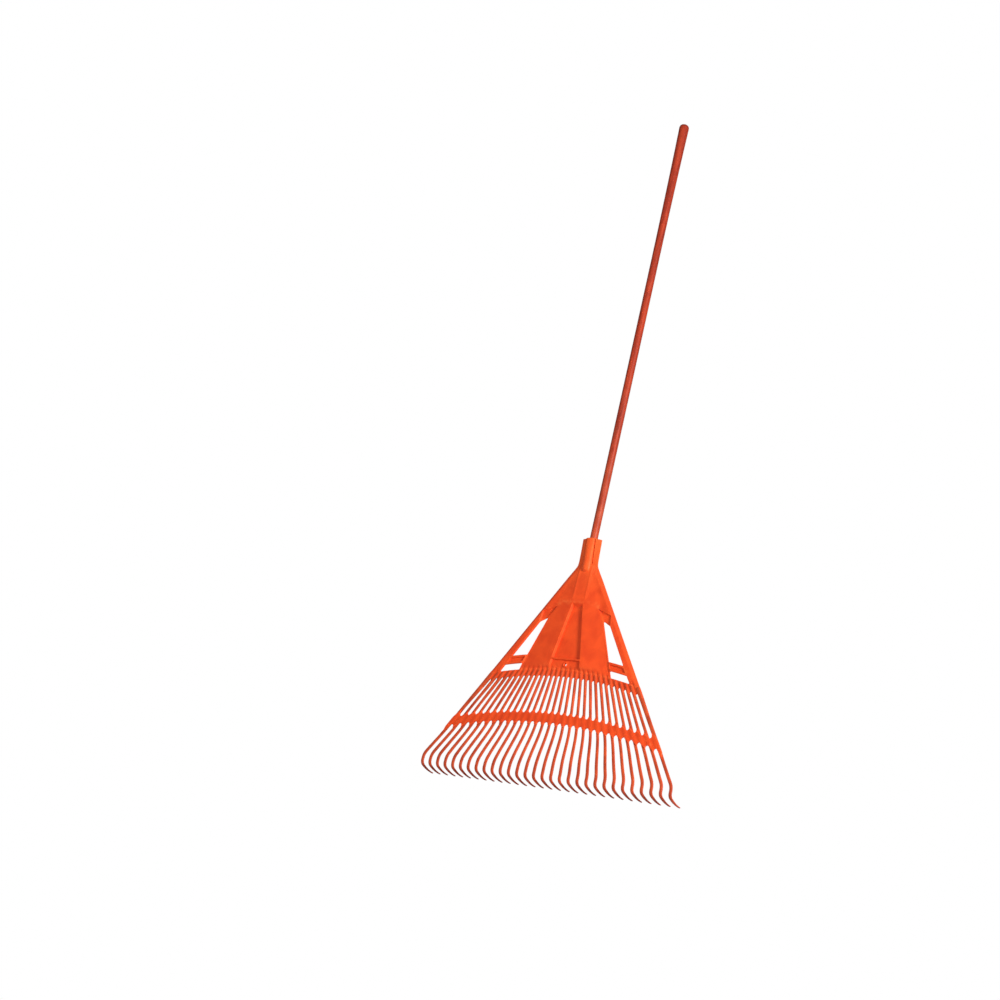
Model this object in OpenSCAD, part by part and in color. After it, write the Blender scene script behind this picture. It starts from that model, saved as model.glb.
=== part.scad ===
// Fan-shaped plastic leaf rake on a tapered wooden handle.
// X runs across the head, +Y is the way the tine hooks point, +Z runs up the handle.
// Heights are measured from the tine tips, and place() then moves the whole rake
// so that its origin is on the handle's axis, at the middle of the straight shaft.

/* [Handle] */
// Overall length of the handle
handle_len = 1219; // [1100:1:1300]
// Diameter of the straight shaft
shaft_d = 19.8; // [18:0.1:20]
// Diameter of the thick upper end
grip_d = 25.4; // [23:0.1:28]
// Length of the taper between the thick end and the shaft
taper_len = 400; // [300:10:450]
// Height of the rounded end
dome_h = 11; // [8:1:13]
// Length of handle held inside the socket
insert_len = 80; // [70:1:82]

/* [Tines] */
// Number of tines
tine_count = 30; // [26:1:30]
// Width over the outermost tines
head_w = 762; // [740:1:780]
// Width of a tine at its upper end
tine_top_w = 6.5; // [5:0.5:7]
// Width of a tine below its knee
tine_w = 8.5; // [7:0.5:9]
// Thickness of a tine
tine_t = 4; // [3:0.5:4]
// Width of a hook at its tip
tip_w = 5; // [4:0.5:7]
// Thickness of a hook at its tip
tip_t = 2.6; // [2:0.2:4]
// Height of the knee, where a tine turns parallel to the handle
knee_z = 40; // [36:1:52]
// Radius of the heel bend
heel_r = 14; // [10:1:15]
// Angle through which the heel turns
hook_angle = 78; // [70:1:85]
// How far a tip stands behind its own leg
hook_reach = 51; // [42:1:56]
// How far the legs of the outermost tines stand forward of the fan's plane
lean_side = 4; // [0:1:8]
// How far the legs of the middle tines stand forward of the fan's plane
lean_middle = 16; // [4:1:20]

/* [Head] */
// Height of the point that the tines fan out from
fan_apex_z = 578; // [570:1:590]
// Height of the socket's mouth
socket_top_z = 628; // [620:1:640]
// Height of the neck, where the socket ends and the shoulders begin
neck_z = 558; // [555:1:560]
// Half the width of the socket's side flanges
flange_half_w = 30; // [28:1:31]
// Outer radius of the socket's barrel
barrel_r = 16; // [15:0.5:17]
// How far the shoulders widen for each millimetre down from the neck
edge_slope = 0.679; // [0.67:0.001:0.685]
// How far the raised middle stands in front of the head's edges
crown = 7; // [5:0.5:9]
// Back face of the head's plates
back_y = 2.5; // [2:0.5:3]
// Front face of the head's plates at their outer edges
edge_y = -1; // [-2:0.5:-0.5]

/* [Bands] */
// Height of the upper band's lower edge, at the middle
upper_low_z = 274; // [270:1:278]
// Height of the upper band's upper edge, at the middle
upper_high_z = 291; // [288:1:296]
// Height of the lower band's lower edge, at the middle
lower_low_z = 157; // [150:1:162]
// Height of the lower band's upper edge, at the middle
lower_high_z = 178; // [172:1:184]
// Radius of the upper band and the cross bars
upper_band_r = 980; // [940:5:1040]
// Radius of the lower band
lower_band_r = 1400; // [1300:10:1500]

/* [Fittings] */
// Radius of the hanging hole
hang_r = 3; // [2.5:0.1:3.5]
// Height of the hanging hole
hang_z = 303; // [301:1:305]
// Height of the socket screw
screw_z = 600; // [590:1:610]
// Radius of the screw's shank
screw_r = 2; // [1.5:0.1:2.5]

/* [Hidden] */
$fn = 64;
slack = 1;
bore_clearance = 0.05;

head_color = "orangered";
handle_color = "firebrick";
steel_color = "silver";

pitch = (head_w - tine_w) / (tine_count - 1);
insert_z = socket_top_z - insert_len;
handle_top_z = insert_z + handle_len;
taper_z = handle_top_z - taper_len;
origin_z = (socket_top_z + taper_z) / 2;

// Heel and hook, in the plane of the tine's side
heel_top_z = heel_r * sin(hook_angle)
    + (hook_reach - heel_r * (1 - cos(hook_angle))) / tan(hook_angle)
    + tip_t / 2 * sin(hook_angle);

// Length of straight tine that shows below the lower band
lean_gap = 6;
// How far the leaning part of a tine runs into its neighbours
leg_overlap = 4;
// How far the ribs beside the outermost tines stand out past the bands
rib_out = 0.3;

// Corners of the head's plates
web_top = [61, 450];
web_out = [104, 435];
window_top = [83, 420];
window_shoulder = [108.5, 407];
plate_top_half_w = 55;
plate_top_z = 462;
recess_top_z = 459;
recess_step_z = 318;
recess_low_z = 294;
recess_top_half_w = 15.5;
recess_step_half_w = 43;
recess_low_half_w = 47;
recess_rim = 3;
recess_y = -1.5;
lower_recess_y = -3;
plate_edge_slope = 0.409;
arm_edge_slope = 0.6625;
arm_front_y = -4;
arm_back_y = 3;
bar_low_z = 307;
bar_high_z = 328;
bar_rib_h = 5;

function tine_name(i) = str("tine_", i < 10 ? "0" : "", i);

// Height of an arched edge, at a distance x from the middle
function arch(z0, radius, x) = z0 - x * x / (2 * radius);
// Half width of the head at a height
function edge_x(z) = flange_half_w + edge_slope * (neck_z - z);
// Side edge of the centre plate, and inner edge of the arms, at a height
function plate_x(z) = window_top.x + plate_edge_slope * (window_top.y - z);
function arm_x(z) = window_shoulder.x + arm_edge_slope * (window_shoulder.y - z);

// Where a side edge x = x0 + slope * (z_ref - z) meets an arch
function meet_x(z0, radius, x0, slope, z_ref) =
    let (b = 1 / slope, c = z_ref + x0 / slope - z0)
    radius * (b - sqrt(b * b - 2 * c / radius));
function edge_meets(z0, radius) = meet_x(z0, radius, flange_half_w, edge_slope, neck_z);
function plate_meets(z0) =
    meet_x(z0, upper_band_r, window_top.x, plate_edge_slope, window_top.y);
function arm_meets(z0) =
    meet_x(z0, upper_band_r, window_shoulder.x, arm_edge_slope, window_shoulder.y);
function on_arch(z0, radius, x) = [x, arch(z0, radius, x)];

// Points along an arch from one x to another
function arch_line(z0, radius, x_from, x_to, steps = 24) =
    [for (i = [0:steps]) on_arch(z0, radius, x_from + (x_to - x_from) * i / steps)];

// Middle of a tine at its knee, and the slope of its straight part
function tine_x(i) = (i - (tine_count + 1) / 2) * pitch;
function tine_slope(i) = tine_x(i) / (fan_apex_z - knee_z);
// Distance below the apex at which a tine reaches the top of the upper band
function tine_drop(i) =
    let (m = tine_slope(i), k = m * m / upper_band_r, c = fan_apex_z - upper_high_z + slack)
    (1 - sqrt(1 - 2 * k * c)) / k;

// Distance below the apex at which a tine is clear of the lower band and starts to lean
function lean_drop(i) =
    let (m = tine_slope(i), k = m * m / lower_band_r, c = fan_apex_z - lower_low_z + lean_gap)
    (1 - sqrt(1 - 2 * k * c)) / k;
// Where a tine's leg stands: the legs follow a shallow arc across the head
function leg_y(i) = let (f = tine_x(i) / tine_x(tine_count))
    -lean_middle + (lean_middle - lean_side) * f * f;

// Side outline of a knee, heel and hook, as [y, z]
function heel_arc(radius, steps = 12) =
    [for (i = [0:steps]) let (a = hook_angle * i / steps)
        [heel_r - radius * cos(a), heel_top_z - radius * sin(a)]];
function tip_corner(side) =
    [hook_reach + side * tip_t / 2 * cos(hook_angle), tip_t / 2 * (1 + side) * sin(hook_angle)];
function reversed(list) = [for (i = [len(list) - 1:-1:0]) list[i]];
function hook_outline() = concat(
    [[-tine_t / 2, knee_z]],
    heel_arc(heel_r + tine_t / 2),
    [tip_corner(-1), tip_corner(1)],
    reversed(heel_arc(heel_r - tine_t / 2)),
    [[tine_t / 2, knee_z]]
);

module place() {
    translate([0, 0, -origin_z]) children();
}

// Extrudes an [x, z] outline from the front face to the back face
module plate(points, front_y, rear_y) {
    translate([0, rear_y, 0])
        rotate([90, 0, 0])
            linear_extrude(rear_y - front_y) polygon(points);
}

module mirrored(side) {
    if (side > 0) children();
    else mirror([1, 0, 0]) children();
}

// A symmetric outline from the points of its right half
function both_sides(points) =
    concat(points, [for (p = reversed(points)) [-p.x, p.y]]);

// ---------- Handle ----------

// Radius at a fraction of the taper, easing out of the straight shaft
function taper_r(f) = (shaft_d + (grip_d - shaft_d) * f * f) / 2;

module handle() {
    taper_steps = 10;
    dome_steps = 10;
    dome_z = handle_top_z - dome_h;
    outline = concat(
        [[0, insert_z], [shaft_d / 2, insert_z]],
        [for (i = [0:taper_steps])
            [taper_r(i / taper_steps), taper_z + (dome_z - taper_z) * i / taper_steps]],
        [for (i = [1:dome_steps - 1]) let (a = 90 * i / dome_steps)
            [grip_d / 2 * cos(a), dome_z + dome_h * sin(a)]],
        [[0, handle_top_z]]
    );
    color(handle_color) place() difference() {
        rotate_extrude() polygon(outline);
        screw_hole(screw_r, -screw_depth());
    }
}

// ---------- Socket and its screw ----------

hood_end = 18;
screw_seat_y = barrel_r - 2;
screw_head_r = 4;
screw_head_h = 2.6;
function screw_depth() = 5;

// A hole along Y from behind the socket to the given depth
module screw_hole(radius, end_y) {
    translate([0, barrel_r + slack, screw_z])
        rotate([90, 0, 0]) cylinder(h = barrel_r + slack - end_y, r = radius);
}

// The barrel: round behind, narrower and raised in front, and closed at its lower end
module barrel_solid() {
    cone_h = 10;
    shelf_y = -2;
    intersection() {
        union() {
            translate([0, 0, insert_z]) cylinder(h = insert_len, r = barrel_r);
            translate([0, 0, insert_z - cone_h]) cylinder(h = cone_h, r1 = barrel_r / 2, r2 = barrel_r);
        }
        translate([-barrel_r, shelf_y, insert_z - cone_h])
            cube([2 * barrel_r, barrel_r - shelf_y, insert_len + cone_h]);
    }
    hull() {
        hood(socket_top_z - slack, 11.6, -13, -15.5);
        hood_at_neck();
    }
    hull() {
        hood_at_neck();
        hood(insert_z, 12, -3, -12);
    }
    hull() {
        hood(insert_z, 12, -3, -12);
        hood(neck_z - hood_end, 9, -3, -4);
    }
}

module hood_at_neck() {
    hood(neck_z, 12, -3, -12.5);
}

// One level of the barrel's raised front
module hood(z, half_w, side_y, front_y) {
    translate([0, 0, z]) linear_extrude(slack) polygon(both_sides([
        [half_w * 0.35, front_y],
        [half_w * 0.8, front_y + 0.35 * (side_y - front_y)],
        [half_w, side_y],
        [half_w, 0]
    ]));
}

// One level of the sloping flanks on either side of the barrel
module flank(z, root, tip_x, front_y, rear_y) {
    translate([0, 0, z]) linear_extrude(slack)
        polygon(both_sides([root, [tip_x, front_y], [tip_x, rear_y]]));
}

module socket() {
    color(head_color) place() difference() {
        union() {
            barrel_solid();
            hull() {
                flank(socket_top_z - slack, [13.2, -11.8], flange_half_w - 1.5, -4.5, -1.5);
                flank(neck_z, [13.6, -2.2], flange_half_w, edge_y, back_y);
            }
        }
        translate([0, 0, insert_z])
            cylinder(h = insert_len + slack, d = shaft_d + 2 * bore_clearance);
        screw_hole(screw_r + 0.2, 0);
        screw_hole(screw_head_r + 0.4, screw_seat_y);
    }
}

module socket_screw() {
    slot_w = 1;
    slot_l = 5;
    slot_h = 1.4;
    color(steel_color) place() translate([0, screw_seat_y, screw_z]) rotate([90, 0, 0]) {
        cylinder(h = screw_seat_y + screw_depth(), r = screw_r);
        difference() {
            translate([0, 0, -screw_head_h]) cylinder(h = screw_head_h, r = screw_head_r);
            for (a = [0, 90])
                rotate([0, 0, a])
                    translate([-slot_l / 2, -slot_w / 2, -screw_head_h - slack])
                        cube([slot_l, slot_w, slot_h + slack]);
        }
    }
}

// ---------- Plates ----------

function shoulder_outline() = both_sides([
    [plate_top_half_w, plate_top_z],
    web_top,
    web_out,
    [edge_x(web_out.y), web_out.y],
    [flange_half_w, neck_z]
]);

module shoulder_plate() {
    ridge_low = recess_top_half_w + recess_rim;
    ridge_high = 14;
    strip = 1;
    color(head_color) place() difference() {
        intersection() {
            plate(shoulder_outline(), -crown - 2, back_y);
            hull() {
                plate(shoulder_outline(), edge_y, back_y);
                plate(both_sides([[ridge_low, plate_top_z], [ridge_low, plate_top_z + strip]]),
                    edge_y - crown, 0);
                plate(both_sides([[ridge_high, neck_z - strip], [ridge_high, neck_z]]),
                    -4.8, 0);
            }
        }
        barrel_solid();
    }
}

function centre_outline() = concat(
    [[-plate_top_half_w, plate_top_z], [plate_top_half_w, plate_top_z]],
    [web_top, window_top],
    arch_line(upper_high_z, upper_band_r, plate_meets(upper_high_z), -plate_meets(upper_high_z)),
    [[-window_top.x, window_top.y], [-web_top.x, web_top.y]]
);

module centre_plate() {
    rim_low = recess_low_half_w + recess_rim;
    ring_r = 7;
    color(head_color) place() difference() {
        union() {
            difference() {
                intersection() {
                    plate(centre_outline(), -crown - 2, back_y);
                    hull() {
                        plate(centre_outline(), edge_y, back_y);
                        plate(both_sides([
                            [rim_low, recess_low_z],
                            [recess_top_half_w + recess_rim, plate_top_z]
                        ]), edge_y - crown, 0);
                    }
                }
                recess_upper();
                recess_lower();
            }
            translate([0, 0, hang_z])
                rotate([90, 0, 0]) cylinder(h = -lower_recess_y + 1.5, r = ring_r);
        }
        translate([0, back_y + slack, hang_z])
            rotate([90, 0, 0]) cylinder(h = back_y + crown + 2 * slack, r = hang_r);
    }
}

module recess_upper() {
    plate(both_sides([
        [recess_step_half_w, recess_step_z],
        [recess_top_half_w, recess_top_z]
    ]), -crown - 3, recess_y);
}

module recess_lower() {
    cross_rib = 3;
    plate(both_sides([
        [recess_low_half_w, recess_low_z],
        [recess_step_half_w, recess_step_z - cross_rib]
    ]), -crown - 3, lower_recess_y);
}

module web(side) {
    color(head_color) place() mirrored(side)
        plate([web_top, web_out, window_shoulder, window_top], 0, back_y);
}

module arm(side) {
    color(head_color) place() mirrored(side)
        plate([
            [edge_x(web_out.y), web_out.y],
            web_out,
            window_shoulder,
            on_arch(upper_high_z, upper_band_r, arm_meets(upper_high_z)),
            on_arch(upper_high_z, upper_band_r, edge_meets(upper_high_z, upper_band_r))
        ], arm_front_y, arm_back_y);
}

// A strip between the centre plate and an arm, bounded by two heights
module bar_strip(low_z, high_z, front_y) {
    plate([
        on_arch(low_z, upper_band_r, plate_meets(low_z)),
        on_arch(low_z, upper_band_r, arm_meets(low_z)),
        on_arch(high_z, upper_band_r, arm_meets(high_z)),
        on_arch(high_z, upper_band_r, plate_meets(high_z))
    ], front_y, back_y);
}

module cross_bar(side) {
    color(head_color) place() mirrored(side) {
        bar_strip(bar_low_z, bar_high_z, 0);
        bar_strip(bar_low_z, bar_low_z + bar_rib_h, arm_front_y);
        bar_strip(bar_high_z - bar_rib_h, bar_high_z, arm_front_y);
    }
}

// ---------- Bands ----------

module band(low_z, high_z, radius, front_y, rear_y) {
    low_x = edge_meets(low_z, radius);
    high_x = edge_meets(high_z, radius);
    color(head_color) place() difference() {
        plate(concat(
            arch_line(low_z, radius, -low_x, low_x),
            arch_line(high_z, radius, high_x, -high_x)
        ), front_y, rear_y);
        for (i = [1:tine_count]) tine_straight(i);
    }
}

// ---------- Tines ----------

// Middle line of a tine, its width, the direction across it and its two sides
function tine_mid(i, drop) = [tine_slope(i) * drop, fan_apex_z - drop];
function tine_width(i, drop) = tine_top_w
    + (tine_w - tine_top_w) * (drop - tine_drop(i)) / (fan_apex_z - knee_z - tine_drop(i));
function across(i) = [1, tine_slope(i)] / norm([1, tine_slope(i)]);
function tine_side(i, drop, side) = tine_mid(i, drop) + side * across(i) * tine_width(i, drop) / 2;

// The straight, tapering part of a tine, from the upper band to below the lower band
module tine_straight(i) {
    top = tine_drop(i);
    low = lean_drop(i);
    plate([tine_side(i, top, -1), tine_side(i, top, 1), tine_side(i, low, 1), tine_side(i, low, -1)],
        -tine_t / 2, tine_t / 2);
    if (i == 1 || i == tine_count) edge_rib(i);
}

// Fills the strip between an outermost tine and the head's edge, from band to band
module edge_rib(i) {
    top = [tine_slope(tine_count) * tine_drop(i), fan_apex_z - tine_drop(i)];
    low_x = edge_meets(lower_low_z, lower_band_r);
    low_z = arch(lower_low_z, lower_band_r, low_x);
    mirrored(i == 1 ? -1 : 1) plate([
        top,
        [edge_x(top.y) + rib_out, top.y],
        [low_x + rib_out, low_z],
        tine_mid(tine_count, lean_drop(tine_count))
    ], -tine_t / 2, tine_t / 2);
}

// Outline of a tine from the front, from above its bend to the leg below its knee
function leg_outline(i) =
    let (start = lean_drop(i) - leg_overlap, half = tine_w / 2, x = tine_x(i),
        rise = half * tan(atan(tine_slope(i)) / 2))
    [
        tine_side(i, start, -1),
        tine_side(i, start, 1),
        [x + half, knee_z + rise],
        [x + half, knee_z - leg_overlap],
        [x - half, knee_z - leg_overlap],
        [x - half, knee_z - rise]
    ];
// Outline of the same stretch from the side, as [y, z]
function lean_outline(i) =
    let (high = fan_apex_z - lean_drop(i) + tine_w, bend = high - 1.5 * tine_w,
        t = tine_t / 2, y = leg_y(i))
    [
        [-t, high], [-t, bend], [y - t, knee_z], [y - t, knee_z - leg_overlap],
        [y + t, knee_z - leg_overlap], [y + t, knee_z], [t, bend], [t, high]
    ];

// The part of a tine that leans forward, from below the lower band to its leg
module tine_lean(i) {
    reach = abs(tine_x(i)) + tine_w;
    intersection() {
        translate([-reach, 0, 0])
            rotate([90, 0, 90]) linear_extrude(2 * reach) polygon(lean_outline(i));
        plate(leg_outline(i), leg_y(i) - tine_t, tine_t);
    }
}

// The leg below the knee, the heel and the hook, narrowing to the tip
module tine_hook() {
    narrowing_y = heel_r;
    intersection() {
        translate([-tine_w / 2, 0, 0])
            rotate([90, 0, 90]) linear_extrude(tine_w) polygon(hook_outline());
        translate([0, 0, -slack]) linear_extrude(knee_z + 2 * slack) polygon(both_sides([
            [tip_w / 2, hook_reach + slack],
            [tine_w / 2, narrowing_y],
            [tine_w / 2, -tine_t]
        ]));
    }
}

module tine(i) {
    color(head_color) place() {
        tine_straight(i);
        tine_lean(i);
        translate([tine_x(i), leg_y(i), 0]) tine_hook();
    }
}

handle();
socket();
socket_screw();
shoulder_plate();
centre_plate();
web(-1);  // left_web
web(1);  // right_web
arm(-1);  // left_arm
arm(1);  // right_arm
cross_bar(-1);  // left_cross_bar
cross_bar(1);  // right_cross_bar
band(upper_low_z, upper_high_z, upper_band_r, 0, 4);  // upper_band
band(lower_low_z, lower_high_z, lower_band_r, -4, 2);  // lower_band
for (i = [1:tine_count])
    tine(i);
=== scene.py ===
"""Looks of the leaf rake: a moulded plastic head on a turned wooden handle.

Shapes are worked out in millimetres, with x across the head, y towards the back and h the height
above the tine tips. place() turns them into the row frame, in metres.
"""

import math

import bmesh
import bpy
import numpy as np
from mathutils import Matrix, Vector
from mathutils.geometry import delaunay_2d_cdt


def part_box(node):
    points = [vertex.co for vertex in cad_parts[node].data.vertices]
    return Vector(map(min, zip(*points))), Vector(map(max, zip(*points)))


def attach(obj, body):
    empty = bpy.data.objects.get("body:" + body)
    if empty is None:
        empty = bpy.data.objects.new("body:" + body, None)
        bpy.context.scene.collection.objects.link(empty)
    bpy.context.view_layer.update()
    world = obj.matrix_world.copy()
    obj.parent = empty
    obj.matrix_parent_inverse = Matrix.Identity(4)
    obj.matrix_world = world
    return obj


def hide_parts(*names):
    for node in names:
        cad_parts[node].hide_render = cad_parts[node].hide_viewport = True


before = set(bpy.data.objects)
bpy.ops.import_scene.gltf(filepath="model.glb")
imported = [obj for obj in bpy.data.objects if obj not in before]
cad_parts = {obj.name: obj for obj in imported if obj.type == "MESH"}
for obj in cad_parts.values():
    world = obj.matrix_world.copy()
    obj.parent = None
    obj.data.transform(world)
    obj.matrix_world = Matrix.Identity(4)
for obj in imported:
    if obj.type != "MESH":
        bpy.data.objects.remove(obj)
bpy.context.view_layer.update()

MM = 0.001
TIP_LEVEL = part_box("tine_01")[0].z
BODY = "root"


def height_of(z):
    return (z - TIP_LEVEL) / MM


# ---------- Sizes, in mm ----------

TINES = 30
APEX_H = 578
KNEE_H = 40
TINE_TOP_W, TINE_W, TINE_T = 6.5, 8.5, 4.0
TIP_W, TIP_T = 5.0, 2.6
HEEL_R = 14
HOOK_REACH = 51
LEAN_SIDE, LEAN_MIDDLE, LEAN_GAP = 4, 16, 6
HALF_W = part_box("tine_30")[1].x / MM
PITCH = (2 * HALF_W - TINE_W) / (TINES - 1)

NECK_H, FLANGE_W, EDGE_SLOPE = 558, 30, 0.679
NECK_SOFT, NECK_PINCH, PINCH_REACH = 6.0, 1.5, 40
SOCKET_TOP_H = height_of(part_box("socket")[1].z)
INSERT_H = height_of(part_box("handle")[0].z)
HANDLE_TOP_H = height_of(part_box("handle")[1].z)
BARREL_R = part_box("socket")[1].y / MM
SHAFT_R, END_R = 9.9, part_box("handle")[1].x / MM

UPPER_R, LOWER_R = 980, 1400
UPPER_LOW, UPPER_HIGH = 274, 291
LOWER_LOW, LOWER_HIGH = 157, 178
BAR_LOW, BAR_HIGH, BAR_RIB = 307, 328, 5
WEB_TOP, WEB_OUT = (61, 450), (104, 435)
WINDOW_TOP, WINDOW_SHOULDER = (83, 420), (108.5, 407)
PLATE_SLOPE, ARM_SLOPE = 0.409, 0.6625
PLATE_TOP_W, PLATE_TOP_H = 55, 462
HOLE_H, HOLE_R = 303, 3.0

BACK_Y = 2.5
ARM_Y = -3.8
SUNK_Y = -0.3


def tine_x(i):
    return (i - (TINES + 1) / 2) * PITCH


def fan_slope(x):
    """How far the fan's line through x on the knee line moves sideways for each millimetre down."""
    return x / (APEX_H - KNEE_H)


def leg_y(x):
    """Where a tine's leg stands: the legs follow a shallow arc across the head."""
    f = x / tine_x(TINES)
    return -LEAN_MIDDLE + (LEAN_MIDDLE - LEAN_SIDE) * f * f


def edge_x(h):
    """Outer edge of the head, pinched in and rounded off at the neck."""
    drop = NECK_H - h
    pinch = NECK_PINCH * smooth((PINCH_REACH - drop) / PINCH_REACH)
    return FLANGE_W - pinch + EDGE_SLOPE * soft_ramp(drop, NECK_SOFT)


def plate_x(h):
    return WINDOW_TOP[0] + PLATE_SLOPE * (WINDOW_TOP[1] - h)


def arm_x(h):
    return WINDOW_SHOULDER[0] + ARM_SLOPE * (WINDOW_SHOULDER[1] - h)


def on_arch(z0, radius, x):
    return (x, z0 - x * x / (2 * radius))


def meet(edge, z0, radius):
    """Where a side edge meets an arch, found by halving."""
    low, high = NECK_H, 0.0
    for _ in range(50):
        h = (low + high) / 2
        if h > on_arch(z0, radius, edge(h))[1]:
            low = h
        else:
            high = h
    return (float(edge(low)), low)


# ---------- Mesh helpers ----------

def place(points):
    p = np.asarray(points, float)
    return np.column_stack([p[:, 0] * MM, p[:, 1] * MM, TIP_LEVEL + p[:, 2] * MM])


def smooth(t):
    t = np.clip(t, 0, 1)
    return t * t * (3 - 2 * t)


def soft_ramp(u, soft):
    """u where it is positive and 0 where it isn't, with the corner rounded off."""
    return (u + np.sqrt(u * u + soft * soft)) / 2


def finish_piece(o, nodes, material):
    o.data.materials.clear()
    o.data.materials.append(material)
    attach(o, BODY)
    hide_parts(*nodes)
    return o


def new_object(name, points, faces, normals=None):
    mesh = bpy.data.meshes.new(name)
    mesh.from_pydata(place(points).tolist(), [], faces)
    mesh.validate()
    mesh.polygons.foreach_set("use_smooth", [True] * len(mesh.polygons))
    if normals is not None:
        mesh.normals_split_custom_set(normals)
    mesh.update()
    o = bpy.data.objects.new(name, mesh)
    bpy.context.scene.collection.objects.link(o)
    return o


def tube_faces(rings, around, cap_start=True, cap_end=True):
    """Quads between rings of points, with an n-sided cap at each end."""
    faces = []
    for r in range(rings - 1):
        for k in range(around):
            a, b = r * around + k, r * around + (k + 1) % around
            faces.append((a, b, b + around, a + around))
    if cap_start:
        faces.append(tuple(range(around - 1, -1, -1)))
    if cap_end:
        faces.append(tuple(range((rings - 1) * around, rings * around)))
    return faces


def lathe(name, profile, around=64):
    """Turns (radius, height) points about the handle's axis."""
    turns = np.arange(around) * 2 * math.pi / around
    points = [(r * math.cos(a), r * math.sin(a), h) for r, h in profile for a in turns]
    return new_object(name, points, tube_faces(len(profile), around))


# ---------- Sheets: plates and bands with a shaped front ----------

EDGE_ROUND = 1.2
EDGE_RINGS = (0.134, 0.5, 1.0, 1.6)


def closed_segments(loop):
    return loop, np.roll(loop, -1, axis=0)


def distance(points, starts, ends, batch=1500):
    """Distance of each point from the nearest of some segments, a batch of points at a time."""
    out = np.empty(len(points))
    along = ends - starts
    length2 = (along ** 2).sum(1)
    for first in range(0, len(points), batch):
        p = points[first:first + batch, None] - starts
        t = np.clip((p * along).sum(2) / length2, 0, 1)
        out[first:first + batch] = np.sqrt(((p - t[..., None] * along) ** 2).sum(2).min(1))
    return out


def inside(points, loop):
    a, b = closed_segments(loop)
    x, y = points[:, :1], points[:, 1:]
    crosses = (a[:, 1] > y) != (b[:, 1] > y)
    rise = np.where(b[:, 1] == a[:, 1], 1, b[:, 1] - a[:, 1])
    return (crosses & (x < a[:, 0] + (y - a[:, 1]) * (b[:, 0] - a[:, 0]) / rise)).sum(1) % 2 == 1


def depth_in(points, loop):
    """How far inside a closed loop each point is; negative outside."""
    return distance(points, *closed_segments(loop)) * np.where(inside(points, loop), 1, -1)


def turned(loop, anticlockwise):
    a, b = closed_segments(loop)
    area = (a[:, 0] * b[:, 1] - b[:, 0] * a[:, 1]).sum()
    return loop if (area > 0) == anticlockwise else loop[::-1]


def offset(loop, by):
    """Moves a closed loop to its left."""
    a, b = closed_segments(loop)
    d = (b - a) / np.linalg.norm(b - a, axis=1)[:, None]
    after = np.column_stack([-d[:, 1], d[:, 0]])
    before = np.roll(after, 1, axis=0)
    spread = np.maximum(1 + (after * before).sum(1), 0.5)
    return loop + by * (after + before) / spread[:, None]


def rounded(corners, radius, steps=4):
    """Rounds the corners of a closed outline."""
    c = np.asarray(corners, float)
    out = []
    for k in range(len(c)):
        p, before, after = c[k], c[k - 1] - c[k], c[(k + 1) % len(c)] - c[k]
        lb, la = np.linalg.norm(before), np.linalg.norm(after)
        half = math.acos(np.clip(before @ after / (lb * la), -1, 1)) / 2
        cut = min(radius / max(math.tan(half), 0.05), 0.45 * lb, 0.45 * la)
        start, end = p + before / lb * cut, p + after / la * cut
        for t in np.linspace(0, 1, steps + 1):
            out.append((1 - t) ** 2 * start + 2 * t * (1 - t) * p + t * t * end)
    return np.array(out)


def both(points):
    """Mirrors the right half of an outline, given from top to bottom, into a closed loop."""
    p = np.asarray(points, float)
    return np.vstack([p, (p * (-1, 1))[::-1]])


def mirrored(loop):
    return np.asarray(loop, float) * (-1, 1)


def cut_up(line, step):
    """Adds points along a line so that no stretch is longer than step."""
    line = np.asarray(line, float)
    out = [line[:1]]
    for a, b in zip(line[:-1], line[1:]):
        n = max(1, int(np.ceil(np.linalg.norm(b - a) / step)))
        out.append(a + (b - a) * (np.arange(1, n + 1) / n)[:, None])
    return np.vstack(out)


def triangulate(outer, holes, lines, grid, step):
    """Triangles that fill an outline and follow the given lines, with a grid of points between."""
    outer = turned(outer, True)
    holes = [turned(h, False) for h in holes]
    loops = [outer, *holes]
    chains = [np.vstack([loop, loop[:1]]) for loop in loops]
    for loop in loops:
        for ring in EDGE_RINGS:
            inner = offset(loop, ring * EDGE_ROUND)
            chains.append(np.vstack([inner, inner[:1]]))
    chains += [cut_up(line, step) for line in lines]
    starts = np.vstack([c[:-1] for c in chains])
    ends = np.vstack([c[1:] for c in chains])
    keep = np.linalg.norm(ends - starts, axis=1) > 1e-6
    starts, ends = starts[keep], ends[keep]

    low, high = outer.min(0), outer.max(0)
    rows = []
    for k, h in enumerate(np.arange(low[1], high[1], grid * 0.866)):
        across = np.arange(low[0] + (k % 2) * grid / 2, high[0], grid)
        rows.append(np.column_stack([across, np.full(len(across), h)]))
    points = np.vstack(rows)
    points = points[inside(points, outer)]
    points = points[distance(points, starts, ends) > 0.45 * grid]

    flat = [Vector(p) for p in np.vstack([starts, ends, points]).tolist()]
    edges = [(k, k + len(starts)) for k in range(len(starts))]
    verts, _, faces, *_ = delaunay_2d_cdt(flat, edges, [], 0, 1e-4)
    verts = np.array([tuple(v) for v in verts])
    faces = np.array([f for f in faces if len(f) == 3])
    middle = verts[faces].mean(1)
    kept = inside(middle, outer)
    for h in holes:
        kept &= ~inside(middle, h)
    faces = faces[kept]
    used, faces = np.unique(faces, return_inverse=True)
    return verts[used], faces.reshape(-1, 3), loops


def outline_edges(faces):
    """Directed edges that only one triangle has."""
    edges = np.vstack([faces[:, [0, 1]], faces[:, [1, 2]], faces[:, [2, 0]]])
    seen = {tuple(e) for e in edges.tolist()}
    return [e for e in seen if (e[1], e[0]) not in seen]


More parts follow.
